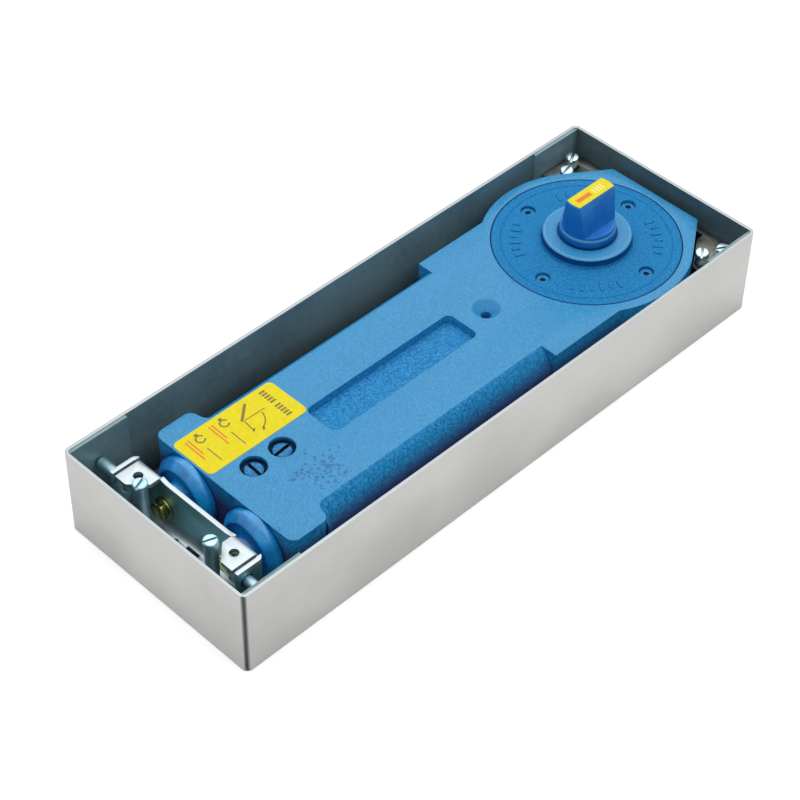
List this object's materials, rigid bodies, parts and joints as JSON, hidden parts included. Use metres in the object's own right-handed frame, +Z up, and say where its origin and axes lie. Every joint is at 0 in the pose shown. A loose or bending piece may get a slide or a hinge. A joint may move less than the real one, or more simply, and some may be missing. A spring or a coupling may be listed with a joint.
{
  "type": "floor spring door closer",
  "caption": "Concealed floor closer: hydraulic spring casting with a tapered drive spindle, held on levelling screws in an open sheet-metal cement box.",
  "frame": {"origin": "middle of the cement box, on its underside", "axes": "+X along the box towards the spindle, +Z up along the spindle, +Y across the box"},
  "size_m": [0.306, 0.108, 0.0639],
  "materials": {
    "galvanised_sheet": "zinc-plated, satin",
    "body_enamel": "gloss enamel over a cast surface",
    "cover_enamel": "gloss enamel",
    "spindle_enamel": "gloss enamel",
    "zinc_plated_steel": "bright zinc",
    "yellow_zinc_steel": "yellow passivated zinc",
    "blackened_steel": "blue enamel over steel",
    "hardened_steel": "ground",
    "piston_steel": "ground",
    "spring_steel": "oiled",
    "bearing_bronze": "machined",
    "piston_ring_plastic": "matte",
    "seal_rubber": "matte",
    "label_film": "printed film"
  },
  "bodies": {
    "box": {"cement_box": "galvanised_sheet", "box_weld_nuts": "zinc_plated_steel", "hold_down_screws": "zinc_plated_steel"},
    "closer": {"housing": "body_enamel", "cover": "cover_enamel", "cover_screws": "blackened_steel", "cover_seal": "seal_rubber", "spindle_seal": "seal_rubber", "upper_bearing": "bearing_bronze", "lower_bearing": "bearing_bronze", "thrust_disc": "hardened_steel", "closing_spring_1": "spring_steel", "closing_spring_2": "spring_steel", "end_plug_1": "cover_enamel", "end_plug_2": "cover_enamel", "plug_seals": "seal_rubber", "adjusting_bracket": "zinc_plated_steel", "bracket_bolts": "yellow_zinc_steel", "bracket_washers": "yellow_zinc_steel", "bracket_nuts": "zinc_plated_steel", "side_nuts": "zinc_plated_steel", "head_bracket": "zinc_plated_steel", "head_bracket_screws": "zinc_plated_steel", "rating_label": "label_film"},
    "spindle": {"spindle": "spindle_enamel", "heart_cam": "hardened_steel", "cam_key": "hardened_steel", "cam_circlip": "spring_steel", "spindle_label": "label_film"},
    "carriage": {"crosshead": "hardened_steel", "upper_slide_plate": "hardened_steel", "lower_slide_plate": "hardened_steel", "plate_rivets": "zinc_plated_steel", "roller_pin": "hardened_steel", "push_rod_1": "hardened_steel", "push_rod_2": "hardened_steel", "piston_1": "piston_steel", "piston_2": "piston_steel", "piston_ring_1": "piston_ring_plastic", "piston_ring_2": "piston_ring_plastic", "check_balls": "hardened_steel", "ball_retainers": "spring_steel"},
    "roller": {"cam_roller": "hardened_steel"},
    "closing_valve": {"closing_valve": "blackened_steel", "closing_valve_seal": "seal_rubber"},
    "latching_valve": {"latching_valve": "blackened_steel", "latching_valve_seal": "seal_rubber"},
    "levelling_screw_1": {"levelling_screw_1": "zinc_plated_steel"},
    "levelling_screw_2": {"levelling_screw_2": "zinc_plated_steel"},
    "levelling_screw_3": {"levelling_screw_3": "zinc_plated_steel"},
    "levelling_screw_4": {"levelling_screw_4": "zinc_plated_steel"},
    "side_screw_1": {"side_screw_1": "zinc_plated_steel"},
    "side_screw_2": {"side_screw_2": "zinc_plated_steel"}
  },
  "joints": [
    {"name": "closer_lift", "type": "slide", "parent": "box", "child": "closer", "axis": [0, 0, 1], "range_m": [0, 0.003]},
    {"name": "spindle_turn", "type": "hinge", "parent": "closer", "child": "spindle", "pos_m": [0.101, 0, 0.02], "axis": [0, 0, 1], "range_deg": [0, 130], "stiffness_Nm_per_rad": 4, "springref_deg": -57.3},
    {"name": "carriage_slide", "type": "slide", "parent": "closer", "child": "carriage", "axis": [1, 0, 0], "range_m": [-0.013, 0], "deforming": ["closing_spring_1", "closing_spring_2"]},
    {"name": "roller_turn", "type": "hinge", "parent": "carriage", "child": "roller", "pos_m": [0.0835, 0, 0.0173], "axis": [0, 0, 1], "continuous": true},
    {"name": "closing_valve_turn", "type": "hinge", "parent": "closer", "child": "closing_valve", "pos_m": [-0.0835, 0, 0.03], "axis": [0, 0, 1], "range_deg": [-180, 360]},
    {"name": "latching_valve_turn", "type": "hinge", "parent": "closer", "child": "latching_valve", "pos_m": [-0.099, 0, 0.03], "axis": [0, 0, 1], "range_deg": [-180, 360]},
    {"name": "levelling_screw_1_turn", "type": "hinge", "parent": "box", "child": "levelling_screw_1", "pos_m": [-0.1403, 0.021, 0.02], "axis": [0, 0, 1], "range_deg": [-1080, 0]},
    {"name": "levelling_screw_2_turn", "type": "hinge", "parent": "box", "child": "levelling_screw_2", "pos_m": [-0.1403, -0.021, 0.02], "axis": [0, 0, 1], "range_deg": [-1080, 0]},
    {"name": "levelling_screw_3_turn", "type": "hinge", "parent": "box", "child": "levelling_screw_3", "pos_m": [0.133, 0.0406, 0.02], "axis": [0, 0, 1], "range_deg": [-1080, 0]},
    {"name": "levelling_screw_4_turn", "type": "hinge", "parent": "box", "child": "levelling_screw_4", "pos_m": [0.133, -0.0406, 0.02], "axis": [0, 0, 1], "range_deg": [-1080, 0]},
    {"name": "side_screw_1_turn", "type": "hinge", "parent": "closer", "child": "side_screw_1", "pos_m": [-0.1375, 0.04, 0.0297], "axis": [0, 1, 0], "range_deg": [0, 1080]},
    {"name": "side_screw_2_turn", "type": "hinge", "parent": "closer", "child": "side_screw_2", "pos_m": [-0.1375, -0.04, 0.0297], "axis": [0, -1, 0], "range_deg": [0, 1080]}
  ],
  "couplings": [
    {"joint": "carriage_slide", "follows": "spindle_turn", "m_per_rad": -0.0057295},
    {"joint": "levelling_screw_1_turn", "follows": "closer_lift", "rad_per_m": -6283.2},
    {"joint": "levelling_screw_2_turn", "follows": "closer_lift", "rad_per_m": -6283.2},
    {"joint": "levelling_screw_3_turn", "follows": "closer_lift", "rad_per_m": -6283.2},
    {"joint": "levelling_screw_4_turn", "follows": "closer_lift", "rad_per_m": -6283.2}
  ]
}
